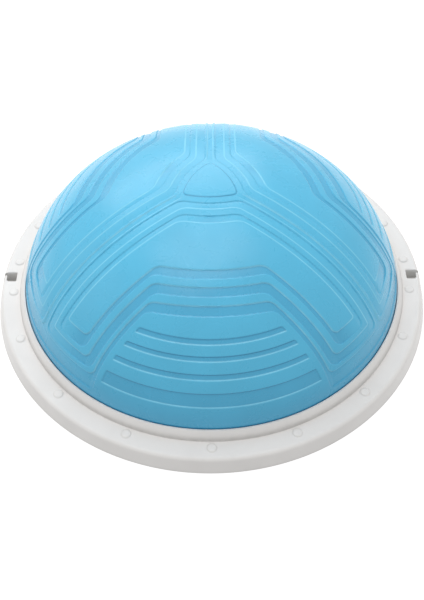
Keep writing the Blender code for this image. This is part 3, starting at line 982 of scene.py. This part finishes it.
# base plate, seal, screws, feet
plateLow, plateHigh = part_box("base_plate")
plateShape = {
    "top": 0.0040,           # heights above the plate's lower face
    "field": 0.0050,
    "fieldTop": plateHigh.z - plateLow.z,
    "wall": 0.0028,
    "hub": 0.060,
    "rim": 0.236,
    "hoop": 0.148,
    "ribWidth": 0.003,
    "ribLift": 0.0003,
    "ribs": 12,
    "counterbore": 0.0042,
    "headRoom": 0.0025,
    "socket": 0.0109,
    "socketDepth": 0.0012,
    "footCircle": 0.256,
    "edge": 0.0006,
}


def footAngles():
    return [2 * math.pi * (k + 0.5) / 8 for k in range(8)]


def makePlate():
    s, z0 = plateShape, plateLow.z
    half, e = s["ribWidth"] / 2, s["edge"]
    corners = [
        (0.0, s["wall"], 0), (s["hub"] - s["wall"], s["wall"], e), (s["hub"] - s["wall"], s["fieldTop"], e),
        (s["rim"] + s["wall"], s["fieldTop"], e), (s["rim"] + s["wall"], s["top"], e),
        (plateHigh.x, s["top"], e), (plateHigh.x, 0.0, e), (s["rim"], 0.0, e), (s["rim"], s["field"], e),
        (s["hoop"] + half, s["field"], e), (s["hoop"] + half, s["ribLift"], e),
        (s["hoop"] - half, s["ribLift"], e), (s["hoop"] - half, s["field"], e), (s["hub"], s["field"], e),
        (s["hub"], 0.0, e), (0.0, 0.0, 0),
    ]
    section = filleted([(r, z + z0, f) for r, z, f in corners], steps=3)
    mesh = turnedMesh("basePlate", section, evenAngles(288), closed=False)
    ribs, cuts = bmesh.new(), bmesh.new()
    low, high = z0 + s["ribLift"] * 2, z0 + (s["field"] + s["fieldTop"]) / 2
    for k in range(s["ribs"]):
        turn = Matrix.Rotation(2 * math.pi * (k + 0.5) / s["ribs"], 3, "Z")
        inner, outer = s["hub"] - s["wall"] / 2, s["rim"] + s["wall"] / 2
        loops = []
        for z, w in ((low, half - e * 0.8), (low + e * 0.3, half - e * 0.3), (low + e, half), (high, half)):
            loops.append([tuple(turn @ Vector(p)) for p in ((inner, -w, z), (outer, -w, z), (outer, w, z),
                                                              (inner, w, z))])
        loftInto(ribs, loops)
    for angle in screwAngles():
        x, y = ringShape["screwCircle"] * math.cos(angle), ringShape["screwCircle"] * math.sin(angle)
        loftInto(cuts, roundPost(x, y, s["counterbore"], z0 - 0.003, z0 + s["headRoom"], 32))
        loftInto(cuts, roundPost(x, y, ringShape["pilot"], z0 + 0.001, z0 + 0.009, 20))
    for angle in footAngles():
        x, y = s["footCircle"] * math.cos(angle), s["footCircle"] * math.sin(angle)
        loftInto(cuts, roundPost(x, y, s["socket"], z0 - 0.003, z0 + s["socketDepth"], 48))
    gap, outer = 0.0003, plateHigh.x + 0.01
    inner, start, end = notchShape["inner"] - gap, notchShape["start"] - gap, notchShape["end"] + gap
    slot = [[(inner, start, z), (outer, start, z), (outer, end, z), (inner, end, z)]
            for z in (0.0, z0 + 0.02)]
    loftInto(cuts, slot)
    loftInto(cuts, mirrored(slot))
    mesh = carved(mesh, [("UNION", meshFrom(ribs, "ribs")), ("DIFFERENCE", meshFrom(cuts, "cuts"))])
    # painted shade: darker the higher the surface stands above the lower face, so darker between the ribs
    # than on the rim
    depth = (pointsOf(mesh)[:, 2] - z0) / s["field"]
    addLayer(mesh, "paintedShade", np.clip(0.25 + depth, 0, 1))
    smoothShade(mesh, 34)
    return mesh


addPiece("basePlate", makePlate(), whiteMaterial, "trainer", ["base_plate"])
print("base plate moulded")

sealLow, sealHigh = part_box("seal_ring")
sealShape = {"width": 0.0095, "round": 0.0005}


def makeSeal():
    low, high, outer = sealLow.z, sealHigh.z, sealHigh.x
    inner, r = outer - sealShape["width"], sealShape["round"]
    corners = [(outer, high, r), (outer, low, r), (inner, low, r), (inner, high, r)]
    mesh = turnedMesh("sealRing", filleted(corners, steps=4), evenAngles(240))
    smoothShade(mesh)
    return mesh


addPiece("sealRing", makeSeal(), rubberMaterial, "trainer", ["seal_ring"])

# pan-head thread-forming screw, sizes in metres
screwShape = {
    "head": 0.0036,
    "headHeight": 0.0019,
    "shank": 0.0016,
    "core": 0.00118,
    "pitch": 0.0011,
    "recess": 0.0019,
    "recessDepth": 0.0011,
}


def makeScrew(length):
    s = screwShape
    bm = bmesh.new()
    # head and core, pointing up from the driving face at z = 0
    corners = [(0.0, 0.0, 0), (s["head"], 0.0, 0.0009), (s["head"], s["headHeight"], 0.0003),
               (s["core"], s["headHeight"], 0.0003), (s["core"], length - 0.0030, 0),
               (0.0, length - 0.0003, 0)]
    body = turnedMesh("screwBody", filleted(corners, closed=False, steps=4), evenAngles(32), closed=False)
    cross = bmesh.new()
    wide, narrow = s["recess"], 0.00042
    for turn in (0.0, math.pi / 2):
        m = Matrix.Rotation(turn, 3, "Z")
        loops = []
        for z, a, b in ((-0.001, wide, narrow), (0.0, wide, narrow),
                        (s["recessDepth"], wide * 0.45, narrow * 0.6)):
            loops.append([tuple(m @ Vector(p)) for p in ((-a, -b, z), (a, -b, z), (a, b, z), (-a, b, z))])
        loftInto(cross, loops)
    crossMesh = meshFrom(cross, "cross")
    body = carved(body, [("DIFFERENCE", crossMesh)])
    bm.from_mesh(body)
    # the thread is a thin ridge wound round the core
    turns = (length - s["headHeight"] - 0.0032) / s["pitch"]
    steps = int(turns * 20)
    last = None
    for i in range(steps + 1):
        a = 2 * math.pi * i / 20
        z = s["headHeight"] + 0.0005 + s["pitch"] * i / 20
        fade = min(1.0, i / 8, (steps - i) / 14)
        crest = s["core"] + (s["shank"] - s["core"]) * max(fade, 0.02)
        root = s["core"] * 0.9
        ridge = ((root, -0.00030), (crest, -0.00004), (crest, 0.00004), (root, 0.00030))
        here = [bm.verts.new((r * math.cos(a), r * math.sin(a), z + up)) for r, up in ridge]
        if last:
            for k in range(4):
                bm.faces.new((last[k], last[(k + 1) % 4], here[(k + 1) % 4], here[k]))
        else:
            bm.faces.new(here[::-1])
        last = here
    bm.faces.new(last)
    mesh = meshFrom(bm, "screw")
    smoothShade(mesh, 30)
    return mesh


screwLow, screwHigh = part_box("screw_01")
screwMesh = makeScrew(screwHigh.z - screwLow.z)
for number, angle in enumerate(screwAngles(), 1):
    node = f"screw_{number:02d}"
    low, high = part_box(node)
    at = Matrix.Translation(((low.x + high.x) / 2, (low.y + high.y) / 2, low.z))
    # each stopped at its own turn when it was driven home
    stop = Matrix.Rotation(angle + 0.83 * number, 4, "Z")
    addPiece(f"screw{number:02d}", screwMesh, steelMaterial, "trainer", [node], at @ stop)
print("screws driven")

footShape = {"chamfer": 0.0014, "ringGroove": 0.0004, "rings": (0.0030, 0.0055, 0.0078)}


def makeFoot(radius, height):
    s = footShape
    corners = [(0.0, height, 0), (radius, height, 0.0005), (radius, s["chamfer"], 0.0005),
               (radius - s["chamfer"], 0.0, 0.0004)]
    # shallow grip rings on the tread
    for r in reversed(s["rings"]):
        corners += [(r + 0.0006, 0.0, 0.0001), (r + 0.0003, s["ringGroove"], 0.0001),
                    (r - 0.0003, s["ringGroove"], 0.0001), (r - 0.0006, 0.0, 0.0001)]
    corners.append((0.0, 0.0, 0))
    mesh = turnedMesh("foot", filleted(corners, closed=False, steps=3), evenAngles(64), closed=False)
    smoothShade(mesh, 34)
    return mesh


footLow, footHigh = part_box("foot_1")
footMesh = makeFoot((footHigh.x - footLow.x) / 2, footHigh.z - footLow.z)
for number in range(1, 9):
    node = f"foot_{number}"
    low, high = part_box(node)
    at = Matrix.Translation(((low.x + high.x) / 2, (low.y + high.y) / 2, low.z))
    addPiece(f"foot{number}", footMesh, rubberMaterial, "trainer", [node],
             at @ Matrix.Rotation(0.7 * number, 4, "Z"))
print("feet fitted")


# air valve
valveShape = {
    "body": 0.0060,
    "bore": 0.0034,
    "flangeThick": 0.0016,
    "stem": 0.0030,
    "stemLength": 0.0110,
    "cap": 0.0072,
    "capThick": 0.0022,
    "gap": 0.0003,
}


def makeSeat():
    s, v = valveShape, valvePlace
    top = v["lift"] + s["flangeThick"]
    inside = -domeShape["skin"] - 2 * v["lift"]
    bottom = inside - s["flangeThick"]
    corners = [(s["bore"], top, 0.0005), (v["flange"], top, 0.0007), (v["flange"], v["lift"], 0.0003),
               (s["body"], v["lift"], 0.0002), (s["body"], inside, 0.0002),
               (v["flange"] * 0.85, inside, 0.0003), (v["flange"] * 0.80, bottom, 0.0004),
               (s["bore"], bottom, 0.0004)]
    mesh = turnedMesh("valveSeat", filleted(corners, steps=4), evenAngles(72))
    for name in ("paintedCreaseShade", "paintedHighlightEdge"):
        addLayer(mesh, name, np.zeros(len(mesh.vertices)))
    smoothShade(mesh)
    return mesh


def makePlug():
    s, v = valveShape, valvePlace
    low = v["lift"] + s["flangeThick"] + s["gap"]
    high = low + s["capThick"]
    end = low - s["stemLength"]
    corners = [(0.0, high - 0.0005, 0), (0.0034, high - 0.0005, 0.0004), (0.0042, high, 0.0003),
               (s["cap"], high, 0.0008), (s["cap"], low, 0.0003), (s["stem"] + 0.0001, low, 0.0002),
               (s["stem"] - 0.0002, low - 0.003, 0.0002), (s["stem"], low - 0.0042, 0.0002),
               (s["stem"] - 0.0002, low - 0.0056, 0.0002), (s["stem"], low - 0.0068, 0.0002),
               (s["stem"] - 0.0002, low - 0.0082, 0.0002), (s["stem"] - 0.0009, end, 0.0003), (0.0, end, 0)]
    mesh = turnedMesh("valvePlug", filleted(corners, closed=False, steps=3), evenAngles(64), closed=False)
    # two notches in the cap's edge, to prise it out by
    cuts = bmesh.new()
    for way in (1, -1):
        loftInto(cuts, roundPost(way * (s["cap"] + 0.0013), 0.0, 0.0024, low - 0.001, low + 0.0011, 28))
    mesh = carved(mesh, [("DIFFERENCE", meshFrom(cuts, "pryNotch"))])
    smoothShade(mesh)
    return mesh


place = valveMatrix()
addPiece("valveSeat", makeSeat(), vinylMaterial, "trainer", ["valve_seat"], place)
addPiece("valvePlug", makePlug(), greyMaterial, "plug", ["valve_plug"], place)
print("valve fitted")


# floor and light
# a white floor that glows a little, so that the shadow under the object stays faint. The room brightens
# from the front towards the upper back, where a wide panel stands; weaker panels are overhead and at
# the left.
studio = {
    "floorColour": "#8C8C8C",
    "glowColour": "#FFFFFF",
    "floorGlow": 0.9,
    "floorSize": 12.0,
    "brightest": (0.0, 0.8, 0.6),
    "roomDark": 0.67,
    "roomBright": 0.80,
    "floorFront": 0.65,
    "floorBack": 1.35,
}
lamps = {
    # name: (place, width, height, watts, colour)
    "backPanel": ((-0.5, 2.0, 1.6), 2.6, 1.3, 20.5, "#FFFFFF"),
    "leftPanel": ((-2.2, 0.1, 1.3), 1.6, 1.6, 3.4, "#FFFFFF"),
    "overheadPanel": ((-0.15, 0.25, 2.2), 1.6, 1.2, 11.0, "#FFFFFF"),
}


def makeStudio():
    bm = bmesh.new()
    bmesh.ops.create_grid(bm, x_segments=24, y_segments=24, size=studio["floorSize"] / 2)
    floorMesh = meshFrom(bm, "floor")
    floor = bpy.data.objects.new("floor", floorMesh)
    scene.collection.objects.link(floor)
    floor.visible_diffuse = False
    floor.visible_glossy = False
    mat, shader, where = startMaterial("matt_white_paper", Roughness=0.9)
    fibre = addNode(mat, "ShaderNodeTexNoise", {"Vector": where, "Scale": perMetre(3.0), "Detail": 2.0})
    tone = addNode(mat, "ShaderNodeMapRange",
                   {"Value": fibre.outputs["Fac"], "To Min": 0.99, "To Max": 1.0})
    colour = addNode(mat, "ShaderNodeHueSaturation", {"Value": tone.outputs[0],
                                                      "Color": hexColour(studio["floorColour"])})
    link(mat, colour.outputs[0], shader.inputs["Base Color"])
    shader.inputs["Emission Color"].default_value = hexColour(studio["glowColour"])
    shader.inputs["Emission Strength"].default_value = studio["floorGlow"]
    floorMesh.materials.append(mat)
    floor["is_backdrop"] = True

    world = bpy.data.worlds.new("softWhite")
    scene.world = world
    world.use_nodes = True
    direction = addNode(world, "ShaderNodeTexCoord").outputs["Generated"]
    axes = addNode(world, "ShaderNodeSeparateXYZ", {0: direction})
    towards = addNode(world, "ShaderNodeVectorMath", {0: direction, 1: studio["brightest"]},
                      operation="DOT_PRODUCT")
    room = addNode(world, "ShaderNodeMapRange", {"Value": towards.outputs["Value"], "From Min": -0.6,
                                                 "From Max": 0.9, "To Min": studio["roomDark"],
                                                 "To Max": studio["roomBright"]})
    lower = addNode(world, "ShaderNodeMapRange", {"Value": axes.outputs["Y"], "From Min": -0.4,
                                                  "From Max": 0.5, "To Min": studio["floorFront"],
                                                  "To Max": studio["floorBack"]})
    share = addNode(world, "ShaderNodeMapRange", {"Value": axes.outputs["Z"], "From Min": -0.2,
                                                  "From Max": 0.0})
    chosen = addNode(world, "ShaderNodeMix", {"Factor": share.outputs[0], "A": lower.outputs[0],
                                              "B": room.outputs[0]}, data_type="FLOAT")
    background = world.node_tree.nodes["Background"]
    link(world, chosen.outputs["Result"], background.inputs["Strength"])
    background.inputs["Color"].default_value = hexColour(studio["glowColour"])
    for name, (at, width, height, watts, colour) in lamps.items():
        lamp = bpy.data.lights.new(name, "AREA")
        lamp.shape = "RECTANGLE"
        lamp.size = width
        lamp.size_y = height
        lamp.energy = watts
        lamp.color = hexColour(colour)[:3]
        holder = bpy.data.objects.new(name, lamp)
        scene.collection.objects.link(holder)
        holder.location = at
        holder.rotation_euler = (Vector((0, 0, 0.1)) - Vector(at)).to_track_quat("-Z", "Y").to_euler()
    scene.view_settings.view_transform = "Standard"
    scene.view_settings.look = "None"


makeStudio()
print("studio lit")

low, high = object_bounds()
